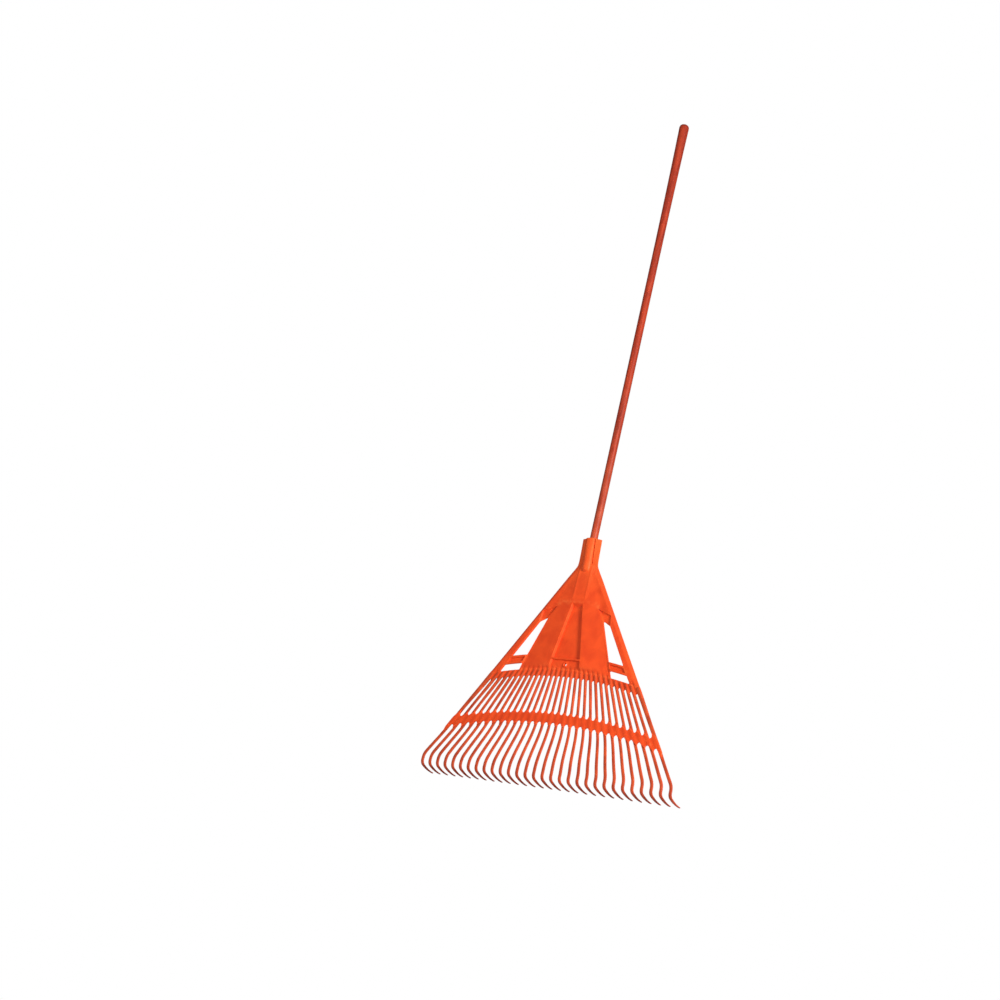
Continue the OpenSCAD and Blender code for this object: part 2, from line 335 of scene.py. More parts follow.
def corner_normals(points, faces):
    """Vertex normals, each face weighted by its angle at the corner."""
    out = np.zeros_like(points)
    for size in {len(f) for f in faces}:
        f = np.array([x for x in faces if len(x) == size])
        for k in range(size):
            a, b, c = (points[f[:, (k + j) % size]] for j in (0, 1, -1))
            u, v = b - a, c - a
            n = np.cross(u, v)
            ln = np.linalg.norm(n, axis=1)
            angle = np.arctan2(ln, (u * v).sum(1))
            np.add.at(out, f[:, k], n / np.maximum(ln, 1e-12)[:, None] * angle[:, None])
    return out / np.maximum(np.linalg.norm(out, axis=1), 1e-12)[:, None]


def sheet_pieces(outer, holes, lines, front, back, parts, material, grid=5, step=4):
    """Makes one closed sheet, then cuts it into a piece for each CAD node.

    The pieces share the whole sheet's normals, so the cuts don't show. parts maps a node to a test
    of the triangles' middles, and a triangle goes to the first node whose test it passes.
    """
    flat, faces, loops = triangulate(outer, holes, lines, grid, step)
    ends = [closed_segments(loop) for loop in loops]
    rim = distance(flat, np.vstack([e[0] for e in ends]), np.vstack([e[1] for e in ends]))
    inward = np.clip(EDGE_ROUND - rim, 0, EDGE_ROUND)
    roll = EDGE_ROUND - np.sqrt(EDGE_ROUND ** 2 - inward ** 2)
    count = len(flat)
    points = np.vstack([np.column_stack([flat[:, 0], front(flat) + roll, flat[:, 1]]),
                        np.column_stack([flat[:, 0], back(flat) - roll, flat[:, 1]])])

    def wall(a, b):
        return (a, a + count, b + count, b)

    real = outline_edges(faces)
    skin = [tuple(f) for f in faces.tolist()]
    whole = skin + [(c + count, b + count, a + count) for a, b, c in skin]
    whole += [wall(*e) for e in real]
    normals = corner_normals(points, whole)
    real = set(real)
    middle = flat[faces].mean(1)
    left = np.ones(len(faces), bool)
    for node, test in parts.items():
        mine = left & test(middle)
        left &= ~mine
        tris = faces[mine]
        if not len(tris):
            raise ValueError(f"no triangles for {node}")
        own = [tuple(f) for f in tris.tolist()]
        own += [(c + count, b + count, a + count) for a, b, c in own]
        corner = [normals[v] for f in own for v in f]
        for e in outline_edges(tris):
            w = wall(*e)
            own.append(w)
            flat_normal = np.cross(points[w[1]] - points[w[0]], points[w[2]] - points[w[1]])
            flat_normal /= max(np.linalg.norm(flat_normal), 1e-12)
            corner += [normals[v] if e in real else flat_normal for v in w]
        used = sorted({v for f in own for v in f})
        index = {v: k for k, v in enumerate(used)}
        o = new_object(f"{node}_form", points[used], [[index[v] for v in f] for f in own],
                       [tuple(n) for n in corner])
        finish_piece(o, [node], material)


# ---------- Fan of tines ----------

def fan_drop(slope, z0, radius):
    """Distance below the apex at which a line of the fan crosses an arch."""
    c, k = APEX_H - z0, slope * slope / radius
    return c if k < 1e-9 else (1 - math.sqrt(1 - 2 * k * c)) / k


def tine_width(h):
    return np.interp(h, [KNEE_H, UPPER_HIGH], [TINE_W, TINE_TOP_W])


def beside_tine(p):
    """Distance from the side of the nearest tine, negative over a tine and beyond the last ones."""
    to_apex = APEX_H - p[:, 1]
    knee_x = p[:, 0] / to_apex * (APEX_H - KNEE_H)
    last = tine_x(TINES)
    index = np.round(np.clip(knee_x, -last, last) / PITCH - 0.5) + 0.5
    away = np.abs(knee_x - index * PITCH) * to_apex / (APEX_H - KNEE_H)
    away /= np.sqrt(1 + fan_slope(knee_x) ** 2)
    return np.where(np.abs(knee_x) > last, -1.0, away - tine_width(p[:, 1]) / 2)


def gap_end(i, z0, radius, opens_down, steps=8):
    """Rounded end of the gap between tines i and i + 1, from left to right."""
    m = fan_slope((tine_x(i) + tine_x(i + 1)) / 2)
    drop = fan_drop(m, z0, radius)
    down = np.array([m, -1]) / math.hypot(m, 1)
    across = np.array([1, m]) / math.hypot(m, 1)
    crown = np.array([m * drop, APEX_H - drop])
    r = (PITCH * drop / (APEX_H - KNEE_H) / math.hypot(m, 1) - tine_width(crown[1])) / 2 + 0.4
    side = 1 if opens_down else -1
    centre = crown + side * r * down
    angles = np.linspace(math.pi, 0, steps + 1)
    return [centre + r * (math.cos(a) * across - side * math.sin(a) * down) for a in angles]


def gap_ends(z0, radius, opens_down):
    return [p for i in range(1, TINES) for p in gap_end(i, z0, radius, opens_down)]


def run_out(h, by):
    """Point on the middle line of the last tine, for a band's end to run out into its side."""
    return [fan_slope(tine_x(TINES)) * (APEX_H - h - by), h + by]


def ridge_lines(low, high, radius, offsets=(-4.6, -3.5, 0, 3.5, 4.6)):
    """Lines along the tines where they cross a band."""
    lines = []
    for i in range(1, TINES + 1):
        m = fan_slope(tine_x(i))
        across = np.array([1, m]) / math.hypot(m, 1)
        drops = fan_drop(m, high, radius), fan_drop(m, low, radius)
        a, b = (np.array([m * d, APEX_H - d]) for d in drops)
        lines += [[a + across * o, b + across * o] for o in offsets]
    return lines


HEEL_TURN, HOOK_TURN = math.radians(64), math.radians(86)
KNEE_SOFT = 11.0
DEEPER, DEEPER_SIDE, DEEPER_FROM, DEEPER_RISE = 2.2, 2.0, 170, 80
RIB_FADE_BELOW, RIB_FADE = 34, 44
# A tine's rounded upper end: distance from it, thickness there, and share of the full width.
TINE_START = ((0, 0.8, 0.6), (0.7, 1.6, 0.85), (2, 2.4, 0.97), (4.5, 3.3, 1), (8, 4, 1))
TIP_ROUND = 2.2
TINE_AROUND, TINE_SQUARE = 16, 3.2


def tine_rings(i):
    """Rings of a tine, from its upper end to its tip.

    Each is its middle, width direction, thickness direction, width and thickness.
    """
    x = tine_x(i)
    m = fan_slope(x)
    drop = fan_drop(m, UPPER_HIGH - 1, UPPER_R)
    lean_h = APEX_H - fan_drop(m, LOWER_LOW - LEAN_GAP, LOWER_R)
    top = np.array([m * drop, 0, APEX_H - drop])
    knee = np.array([x, 0, KNEE_H])
    along = (knee - top) / np.linalg.norm(knee - top)
    start, end = knee - along * KNEE_SOFT, knee - np.array([0, 0, KNEE_SOFT])
    band_end = meet(edge_x, LOWER_LOW, LOWER_R)[1]
    rings = []

    def leaned(p):
        return leg_y(x) * smooth((lean_h - p[2]) / (lean_h - KNEE_H))

    def straight_ring(p, t, thick=TINE_T, narrow=1.0):
        """A ring across the tine. Tines get deeper at the back towards the upper band, and the
        outermost two carry a rib out to the head's edge between the bands."""
        t = t / np.linalg.norm(t)
        rise = (leaned(p + t) - leaned(p - t)) / 2
        back = np.array([rise * -t[0], 1.0, rise * -t[2]])
        across = np.array([-t[2], 0, t[0]])
        width = tine_width(p[2]) * narrow
        full_depth = DEEPER + DEEPER_SIDE * (x / tine_x(TINES)) ** 2
        deeper = full_depth * float(smooth((p[2] - DEEPER_FROM) / DEEPER_RISE)) * thick / TINE_T
        extra = 0.0
        if i in (1, TINES):
            out = (edge_x(p[2]) - abs(m) * (APEX_H - p[2])) / math.hypot(1, m)
            fade = float(smooth((p[2] - band_end + RIB_FADE_BELOW) / RIB_FADE))
            extra = max(out - width / 2, 0) * fade * narrow
        middle = p + across * math.copysign(extra / 2, x) + np.array([0, leaned(p) + deeper / 2, 0])
        rings.append((middle, across, back / np.linalg.norm(back), width + extra, thick + deeper))

    for s, thick, narrow in TINE_START:
        straight_ring(top + along * s, along, thick, narrow)
    reach = np.linalg.norm(start - top)
    for s in np.linspace(TINE_START[-1][0], reach, 33)[1:]:
        straight_ring(top + along * s, along)
    for t in np.linspace(0, 1, 9)[1:]:
        p = (1 - t) ** 2 * start + 2 * t * (1 - t) * knee + t * t * end
        straight_ring(p, (1 - t) * (knee - start) + t * (end - knee))

    hook_r = ((HOOK_REACH - HEEL_R * (1 - math.cos(HEEL_TURN)))
              / (math.cos(HEEL_TURN) - math.cos(HOOK_TURN)))
    tip_h = TIP_T / 2 + 0.1
    hook_h = hook_r * (math.sin(HOOK_TURN) - math.sin(HEEL_TURN))
    heel_top = tip_h + hook_h + HEEL_R * math.sin(HEEL_TURN)
    heel_y = HEEL_R * (1 - math.cos(HEEL_TURN))
    stations = [(a, HEEL_R, 0.0, heel_top, 0.0) for a in np.linspace(0, HEEL_TURN, 9)]
    stations += [(a, hook_r, heel_y, heel_top - HEEL_R * math.sin(HEEL_TURN), HEEL_TURN)
                 for a in np.linspace(HEEL_TURN, HOOK_TURN, 10)[1:]]
    for a, r, y0, h0, a0 in stations:
        y = y0 + r * (math.cos(a0) - math.cos(a))
        h = h0 - r * (math.sin(a) - math.sin(a0))
        rings.append((np.array([x, y + leg_y(x), h]), np.array([1.0, 0, 0]),
                      np.array([0, math.cos(a), math.sin(a)]),
                      np.interp(y, [HEEL_R, HOOK_REACH], [TINE_W, TIP_W]),
                      np.interp(y, [4, HOOK_REACH], [TINE_T, TIP_T])))
    return rings


def round_off_tip(rings):
    """Replaces the last ring with a few that close the tip in a rounded end."""
    p, across, thick, w, t = rings.pop()
    forward = np.cross(across, thick)
    forward = forward if forward[1] > 0 else -forward
    for e in (1.0, 0.7, 0.4, 0.15, 0.02):
        s = math.sqrt(1 - (1 - e) ** 2)
        rings.append((p - forward * e * TIP_ROUND, across, thick,
                      w * (0.35 + 0.65 * s), t * (0.2 + 0.8 * s)))
    return rings


def tine_piece(i, material):
    """A tine, swept along its rings with a rounded square section."""
    a = (np.arange(TINE_AROUND) + 0.5) * 2 * math.pi / TINE_AROUND
    u = np.sign(np.cos(a)) * np.abs(np.cos(a)) ** (2 / TINE_SQUARE) / 2
    v = np.sign(np.sin(a)) * np.abs(np.sin(a)) ** (2 / TINE_SQUARE) / 2
    rings = round_off_tip(tine_rings(i))
    points = np.vstack([p + np.outer(u * w, across) + np.outer(v * t, thick)
                        for p, across, thick, w, t in rings])
    node = f"tine_{i:02d}"
    o = new_object(f"{node}_form", points, tube_faces(len(rings), TINE_AROUND))
    return finish_piece(o, [node], material)


# ---------- Head ----------

CROWN_HEIGHTS = [UPPER_HIGH, PLATE_TOP_H, NECK_H]
CROWN_W, CROWN_Y = [50, 18.5, 17.5], [-8, -8, -4.8]
FACET_SLOPE = ([UPPER_HIGH, PLATE_TOP_H, 500, 530, NECK_H], [0.084, 0.0915, 0.112, 0.150, 0.30])
RIDGE_RISE, RIDGE_HALF_W = 0.6, 3.2
RIDGE_LOW, RIDGE_HIGH, RIDGE_FADE = 466, 552, 8
BEVEL_W = ([UPPER_LOW, 470, NECK_H], [6.5, 7.5, 11])
BEVEL_EDGE_Y, BEVEL_SOFT = 0.3, 0.12
RIM_START, RIM_FADE = ([407, 435, 470], [20, 16, 12]), 11
PLATE_STEP, BAND_STEP = 5, 11
WALL, WEB_WALL, BAR_WALL = 1.8, 1.5, 1.2
RIB_GAP = 3
RECESS_TOP_H, RECESS_SPLIT_H, RECESS_ROUND, RECESS_RAMP = 459, 318, 2.5, 9
UPPER_RECESS_Y, LOWER_RECESS_Y = -1.5, -3.0
RING_R, RING_RISE, RING_HALF_W = 5.2, 2.0, 2.4
OPENING_ROUND = 2.5
VALLEY_Y, TINE_RISE, VALLEY_SIDE = 0.1, 1.2, 2.2
BAND_THICKER, TUCK_FRONT, TUCK_BACK = 1.5, 2.0, 1.2

upper_recess = rounded(both([(15.5, RECESS_TOP_H), (43, RECESS_SPLIT_H)]), RECESS_ROUND)
lower_recess = rounded(both([(43, RECESS_SPLIT_H - RIB_GAP), (48.3, 286)]), RECESS_ROUND)
web_right = np.array([WEB_TOP, (WINDOW_TOP[0] + 7.3, WINDOW_TOP[1] - 10),
                      (WINDOW_SHOULDER[0] + 1.6, WINDOW_SHOULDER[1] - 10), WEB_OUT], float)


def bar_corner(z0, inner, shift=0.0):
    x, h = meet(plate_x if inner else arm_x, z0, UPPER_R)
    return (x + shift, on_arch(z0, UPPER_R, x + shift)[1])


bar_right = np.array([
    bar_corner(BAR_HIGH - BAR_RIB, True, 2), bar_corner(BAR_LOW + BAR_RIB, True, 2),
    bar_corner(BAR_LOW + BAR_RIB, False, -2), bar_corner(BAR_HIGH - BAR_RIB, False, -2)])


def arch_height(p):
    """Height measured along the arches: it equals an arch's middle height all along that arch."""
    return p[:, 1] + p[:, 0] ** 2 / (2 * UPPER_R)


def edge_depth(p):
    """Distance inwards from the head's sloping outer edge."""
    return (edge_x(p[:, 1]) - np.abs(p[:, 0])) / math.hypot(1, EDGE_SLOPE)


def facet(p):
    """The crown between its two ridges, falling away gently on either side."""
    ax, h = np.abs(p[:, 0]), p[:, 1]
    width = np.interp(h, CROWN_HEIGHTS, CROWN_W)
    slope = np.interp(h, *FACET_SLOPE)
    return np.interp(h, CROWN_HEIGHTS, CROWN_Y) + slope * soft_ramp(ax - width, 3)


def ridge(p):
    """Low beads along the crown's two ridges, between the socket and the recessed panel."""
    ax, h = np.abs(p[:, 0]), p[:, 1]
    away = np.abs(ax - np.interp(h, CROWN_HEIGHTS, CROWN_W))
    return (RIDGE_RISE * smooth(1 - away / RIDGE_HALF_W)
            * smooth((h - RIDGE_LOW) / RIDGE_FADE) * smooth((RIDGE_HIGH - h) / RIDGE_FADE))


def corrugation(p):
    """Front of the upper band: valleys between the tines."""
    return VALLEY_Y - TINE_RISE * smooth(1 - beside_tine(p) / VALLEY_SIDE)


def sunk(y, floor, depth, wall):
    """Sinks a surface to a floor inside an outline, across a sloping wall."""
    t = smooth(depth / wall)
    return y * (1 - t) + floor * t


def head_front(p):
    """Front of the head sheet, from the neck to the upper band."""
    ax, h = np.abs(p[:, 0]), p[:, 1]
    right = np.column_stack([ax, h])
    plate = facet(p) - ridge(p)
    u = edge_depth(p)
    rim = 1 - smooth((u - np.interp(h, *RIM_START)) / RIM_FADE)
    beside_plate = smooth((ax - plate_x(h) + PLATE_STEP / 2) / PLATE_STEP)
    shoulder_y = plate + (np.minimum(plate, ARM_Y) - plate) * rim
    lower_y = plate + (ARM_Y - plate) * beside_plate
    y = np.where(h > WINDOW_TOP[1], shoulder_y, lower_y)
    t = u / np.interp(h, *BEVEL_W)
    t = 1 - soft_ramp(1 - t, BEVEL_SOFT)
    y = y * t + BEVEL_EDGE_Y * (1 - t)
    y = sunk(y, SUNK_Y, depth_in(right, web_right), WEB_WALL)
    y = sunk(y, SUNK_Y, depth_in(right, bar_right), BAR_WALL)
    under_top = smooth((RECESS_TOP_H - h) / RECESS_RAMP)
    y = y + (sunk(y, UPPER_RECESS_Y, depth_in(p, upper_recess), WALL) - y) * under_top
    y = sunk(y, LOWER_RECESS_Y, depth_in(p, lower_recess), WALL)
    t = smooth((arch_height(p) - UPPER_HIGH + 1) / BAND_STEP)
    y = y * t + corrugation(p) * (1 - t)
    from_hole = np.hypot(p[:, 0], h - HOLE_H)
    y = y - RING_RISE * smooth(1 - np.abs(from_hole - RING_R) / RING_HALF_W)
    return y + TUCK_FRONT * smooth((h - NECK_H) / 5)


def head_back(p):
    """Back of the head sheet: flat, thicker at the upper band, and tucked in under the socket."""
    under_socket = TUCK_BACK * smooth((p[:, 1] - NECK_H) / 4)
    return BACK_Y + BAND_THICKER * smooth((UPPER_HIGH + 2 - arch_height(p)) / 4) - under_socket


def head_sheet(material):
    """Socket's foot to upper band: outline, openings, the lines the mesh follows, and nodes."""
    end = meet(edge_x, UPPER_LOW, UPPER_R)
    side_heights = np.arange(NECK_H, end[1], -4.0)
    left_edge = [(-edge_x(h), h) for h in side_heights] + [(-end[0], end[1])]
    run = run_out(end[1], -30)
    right_edge = [(-x, h) for x, h in left_edge[::-1]]
    outer = np.array([(24, NECK_H + 8), (-24, NECK_H + 8), *left_edge, (-run[0], run[1]),
                      *gap_ends(UPPER_LOW, UPPER_R, True), run, *right_edge], float)
    circle = np.linspace(0, 2 * math.pi, 28, endpoint=False)

    def ring(r):
        loop = np.column_stack([r * np.cos(circle), HOLE_H + r * np.sin(circle)])
        return np.vstack([loop, loop[:1]])

    bar_line = [on_arch(BAR_HIGH, UPPER_R, x) for x in np.linspace(
        meet(arm_x, BAR_HIGH, UPPER_R)[0], meet(plate_x, BAR_HIGH, UPPER_R)[0], 8)]
    window = rounded([WINDOW_TOP, WINDOW_SHOULDER, *bar_line], OPENING_ROUND)
    slot_low = [on_arch(UPPER_HIGH, UPPER_R, x) for x in np.linspace(
        meet(plate_x, UPPER_HIGH, UPPER_R)[0], meet(arm_x, UPPER_HIGH, UPPER_R)[0], 5)]
    slot_high = [on_arch(BAR_LOW, UPPER_R, x) for x in np.linspace(
        meet(arm_x, BAR_LOW, UPPER_R)[0], meet(plate_x, BAR_LOW, UPPER_R)[0], 5)]
    slot = rounded([*slot_low, *slot_high], OPENING_ROUND)
    holes = [window, mirrored(window), slot, mirrored(slot), ring(HOLE_R)[:-1]]

    lines = [ring(r) for r in (2.9 + EDGE_ROUND, RING_R, RING_R + 1.2, RING_R + 2.4, RING_R + 3.6)]
    for loop, wall in ((upper_recess, WALL), (lower_recess, WALL),
                       (web_right, WEB_WALL), (mirrored(web_right), WEB_WALL),
                       (bar_right, BAR_WALL), (mirrored(bar_right), BAR_WALL)):
        loop = turned(loop, True)
        for by in (-0.8, 0, wall * 0.25, wall * 0.5, wall * 0.75, wall, wall + 0.8):
            around = offset(loop, by)
            lines.append(np.vstack([around, around[:1]]))
    heights = np.linspace(UPPER_HIGH, NECK_H, 34)
    for side in (-1, 1):
        for by in (-3, -1, 1, 3):
            lines.append([(side * (np.interp(h, CROWN_HEIGHTS, CROWN_W) + by), h) for h in heights])
        for part in (0.85, 1.0, 1.15):
            across = [edge_x(h) - part * np.interp(h, *BEVEL_W) * math.hypot(1, EDGE_SLOPE)
                      for h in heights]
            lines.append([(side * x, h) for x, h in zip(across, heights)])
        lines.append([(side * plate_x(h), h) for h in np.linspace(WINDOW_TOP[1], 280, 20)])
        lines.append([(side * arm_x(h), h) for h in np.linspace(WINDOW_SHOULDER[1], 265, 20)])
        seam = [(PLATE_TOP_W, PLATE_TOP_H), WEB_TOP, WINDOW_TOP, WINDOW_SHOULDER, WEB_OUT]
        lines += [[(side * x, h) for x, h in seam],
                  [(side * x, h) for x, h in (WEB_TOP, WEB_OUT, (edge_x(WEB_OUT[1]), WEB_OUT[1]))]]
    lines.append([(-PLATE_TOP_W, PLATE_TOP_H), (PLATE_TOP_W, PLATE_TOP_H)])
    xs = np.linspace(-230, 230, 90)
    lines += [[(-15, h), (15, h)] for h in range(RECESS_TOP_H - 2, RECESS_TOP_H - RECESS_RAMP, -2)]
    for z0 in (UPPER_LOW + 8, UPPER_HIGH, UPPER_HIGH + 4, UPPER_HIGH + 10, BAR_LOW, BAR_HIGH):
        lines.append([on_arch(z0, UPPER_R, x) for x in xs])
    lines += ridge_lines(UPPER_LOW - 2, UPPER_HIGH + 6, UPPER_R)

    centre = both([(PLATE_TOP_W, PLATE_TOP_H), WEB_TOP, WINDOW_TOP, (plate_x(200), 200)])

    def over(m):
        return np.column_stack([np.abs(m[:, 0]), m[:, 1]])

    def on_side(side, test):
        return lambda m: (m[:, 0] * side > 0) & test(over(m))

    web = np.array([WEB_TOP, WEB_OUT, WINDOW_SHOULDER, WINDOW_TOP], float)

    def in_bar(m):
        return (m[:, 0] < arm_x(m[:, 1])) & (m[:, 1] < 345)

    def in_arm(m):
        return m[:, 1] < WEB_OUT[1]

    parts = {"upper_band": lambda m: arch_height(m) < UPPER_HIGH,
             "centre_plate": lambda m: inside(m, centre)}
    for side, name in ((-1, "left"), (1, "right")):
        parts[f"{name}_web"] = on_side(side, lambda m: inside(m, web))
        parts[f"{name}_cross_bar"] = on_side(side, in_bar)
        parts[f"{name}_arm"] = on_side(side, lambda m: in_arm(m) & (m[:, 0] > 100))
    parts["shoulder_plate"] = lambda m: np.ones(len(m), bool)
    sheet_pieces(outer, holes, lines, head_front, head_back, parts, material)


LOWER_FRONT_Y, LOWER_BACK_Y, LOWER_TINE_RISE = -3.4, 2.0, 0.5


def lower_band(material):
    """The arched band that ties the tines together; its front stands a little prouder over each."""
    def front(p):
        return LOWER_FRONT_Y - LOWER_TINE_RISE * smooth(1 - beside_tine(p) / VALLEY_SIDE)

    def back(p):
        return np.full(len(p), LOWER_BACK_Y)

    low, high = (meet(edge_x, z0, LOWER_R) for z0 in (LOWER_LOW, LOWER_HIGH))
    run_low, run_high = run_out(low[1], -22), run_out(high[1], 22)
    right = [run_low, low, high, run_high]
    left = [(-x, h) for x, h in right[::-1]]
    outer = np.array([*left, *gap_ends(LOWER_LOW, LOWER_R, True), *right,
                      *gap_ends(LOWER_HIGH, LOWER_R, False)[::-1]], float)
    xs = np.linspace(-312, 312, 120)
    lines = [[on_arch(z0, LOWER_R, x) for x in xs] for z0 in (LOWER_LOW + 7, LOWER_HIGH - 7)]
    lines += ridge_lines(LOWER_LOW - 2, LOWER_HIGH + 2, LOWER_R, (-6, -4.8, 0, 4.8, 6))
    parts = {"lower_band": lambda m: np.ones(len(m), bool)}
    sheet_pieces(outer, [], lines, front, back, parts, material)


# ---------- Socket ----------

HOOD_END = 18
# Points of the outline and lengths across it, each at the neck and at the mouth.
BARREL_SIDE = (11.8, -3.6), (11.2, -13.4)
BARREL_FRONT = (0, -12.5), (0, -15.5)
GROOVE_ROOT = (15.0, -2.0), (14.5, -11.2)
GROOVE_DEPTH = (0, 4.0), (0, 5.5)
FLANK_FRONT = (0, -0.6), (0, -4.5)
FLANK_BACK = (0, BACK_Y), (0, -1.5)
# Where the barrel's side and front run out below the neck.
NOSE_SIDE, NOSE_FRONT = (9.0, -3.5), (0, -4.0)
RIM_REACH, RIM_TO_FLANKS, RIM_TO_FRONT, RIM_FRONT_Y = 12, 2.4, 2.2, 16
MOUTH_R, SHAFT_ROOM = 11.2, 0.05
SEAT_R, SEAT_DEPTH, SEAT_Y = 4.4, 8, 14
SHARP_DEGREES = 40


def between(h, at_neck, at_top):
    """A point of the socket's outline, moving evenly from the neck to the mouth."""
    t = max(h - NECK_H, 0) / (SOCKET_TOP_H - NECK_H)
    return np.array(at_neck) * (1 - t) + np.array(at_top) * t


def socket_half(h):
    """Right half of the socket's outline at a height.

    It runs from the middle of the front over the barrel, down the groove, out along the flank's
    front, round its edge and back to the middle of the back.
    """
    nose = np.clip((INSERT_H + 2 - h) / 11.5, 0, 1)
    r = BARREL_R * math.sqrt(1 - 0.72 * nose ** 2)
    below = max(NECK_H - h, 0)
    full = 1 - min(below / HOOD_END, 1) ** 3.5
    side, front = between(h, *BARREL_SIDE), between(h, *BARREL_FRONT)
    side = np.array(NOSE_SIDE) + (side - NOSE_SIDE) * full
    front = np.array(NOSE_FRONT) + (front - NOSE_FRONT) * full
    root = between(h, *GROOVE_ROOT) + (-1.5 * (1 - full), 0.1 * below)
    points = [(side[0] * math.sin(a), side[1] + (front[1] - side[1]) * math.cos(a) ** 0.85)
              for a in np.linspace(0, math.pi / 2, 10)[:-1]]
    points += [tuple(side + (-0.25, 0.0)), tuple(side + (0.0, 0.35))]
    bottom_y = max(side[1] + 0.6, root[1]) + between(h, *GROOVE_DEPTH)[1]
    points += [(side[0] + 0.4, bottom_y), (root[0] - 0.7, bottom_y),
               tuple(root + (-0.1, 0.5)), tuple(root)]
    tip_x = float(edge_x(h)) - 0.2 if below == 0 else FLANGE_W - 1.3 * below
    tip_x = max(tip_x, r + 1.5, root[0] + 4)
    front_y = between(h, *FLANK_FRONT)[1] + 0.25 * below
    back_y = between(h, *FLANK_BACK)[1] - 0.15 * min(below, 8)
    front_y = min(front_y, back_y - 1)
    round_off = min(1.1, (back_y - front_y) / 2.2)
    d = np.array([tip_x - 1.2, front_y]) - root
    points += [tuple(root + d * s) for s in (0.06, 0.3, 0.6, 1.0)]
    points += [(tip_x - 0.3, front_y + 0.25), (tip_x, front_y + round_off),
               (tip_x, back_y - round_off), (tip_x - 0.3, back_y - 0.25), (tip_x - 1.2, back_y)]
    start = math.asin(min((back_y + 1.6) / r, 0.9))
    foot = r * math.cos(start)
    points += [((tip_x - 1.2 + foot + 1.6) / 2, back_y), (foot + 1.6, back_y),
               (foot + 0.5, back_y + 0.5)]
    points += [(r * math.cos(a), r * math.sin(a)) for a in np.linspace(start, math.pi / 2, 10)]
    return points


def socket_ring(h, shrink=0.0):
    """The whole outline at a height, drawn in towards the axis by a length."""
    half = np.array(socket_half(h))
    half = half * (1 - shrink / np.linalg.norm(half, axis=1))[:, None]
    return np.vstack([half, (half * (-1, 1))[-2:0:-1]])


def mouth_drop(x, y, h):
    """How far the rim falls at a point: towards the flanks and the front, less further down."""
    low = float(smooth((h - SOCKET_TOP_H + RIM_REACH) / RIM_REACH))
    return low * (RIM_TO_FLANKS * float(smooth((abs(x) - 11) / 8))
                  + RIM_TO_FRONT * min(max(-y / RIM_FRONT_Y, 0), 1))


def screw_seat():
    """The cylinder that the screw's counterbore is cut with."""
    mesh = bpy.data.meshes.new("screw_seat")
    b = bmesh.new()
    bmesh.ops.create_cone(b, cap_ends=True, segments=32, radius1=SEAT_R * MM,
                          radius2=SEAT_R * MM, depth=SEAT_DEPTH * MM)
    b.to_mesh(mesh)
    b.free()
    cutter = bpy.data.objects.new("screw_seat", mesh)
    bpy.context.scene.collection.objects.link(cutter)
    low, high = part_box("socket_screw")
    middle = ((low.x + high.x) / 2, (SEAT_Y + SEAT_DEPTH / 2) * MM, (low.z + high.z) / 2)
    cutter.matrix_world = Matrix.Translation(middle) @ Matrix.Rotation(math.pi / 2, 4, "X")
    return cutter


def socket_piece(material):
    """Bore from the bottom up, over the rim, then the outside down to the nose."""
    heights = [(SOCKET_TOP_H, 0.9), (SOCKET_TOP_H - 0.25, 0.4), (SOCKET_TOP_H - 0.9, 0)]
    heights += [(h, 0) for h in (622, 612, 600, 588, 576, 570, 566, 562, NECK_H, 556, 553, 550)]
    heights += [(h, 0) for h in (548, 546, 544, 542, 540.5, 539.3, 538.6)]
    around = len(socket_ring(600))
    half = np.array(socket_half(SOCKET_TOP_H))
    turn = np.maximum.accumulate(np.arctan2(half[:, 1], half[:, 0]))
    angles = np.concatenate([turn, (math.pi - turn)[-2:0:-1]])
    bore_r = SHAFT_R + SHAFT_ROOM
    bore = [(MOUTH_R, SOCKET_TOP_H), (10.6, SOCKET_TOP_H - 0.6),
            (SHAFT_R + 0.1, SOCKET_TOP_H - 1.6), (bore_r, SOCKET_TOP_H - 4), (bore_r, INSERT_H)]
    points = [(r * math.cos(a), r * math.sin(a), h) for r, h in bore[::-1] for a in angles]
    for h, shrink in heights:
        points += [(x, y, h - mouth_drop(x, y, h)) for x, y in socket_ring(h, shrink)]
    faces = [f[::-1] for f in tube_faces(len(bore) + len(heights), around)]
    o = new_object("socket_form", points, faces)
    mark_sharp(o, SHARP_DEGREES)
    cutter = screw_seat()
    cut = o.modifiers.new("seat", "BOOLEAN")
    cut.object, cut.operation, cut.solver = cutter, "DIFFERENCE", "EXACT"
    apply_modifiers(o)
    bpy.data.objects.remove(cutter)
    mark_sharp(o, SHARP_DEGREES)
    return finish_piece(o, ["socket"], material)


def apply_modifiers(o):
    bpy.context.view_layer.update()
    made = bpy.data.meshes.new_from_object(o.evaluated_get(bpy.context.evaluated_depsgraph_get()))
    o.modifiers.clear()
    o.data = made


def mark_sharp(o, degrees):
    """Keeps edges sharper than an angle sharp, and the rest smooth."""
    b = bmesh.new()
    b.from_mesh(o.data)
    for face in b.faces:
        face.smooth = True
    for edge in b.edges:
        edge.smooth = len(edge.link_faces) == 2 and edge.calc_face_angle() < math.radians(degrees)
    b.to_mesh(o.data)
    b.free()


# ---------- Handle ----------

TAPER_LENGTH, DOME, DOME_POWER = 400, 11.0, 2.3


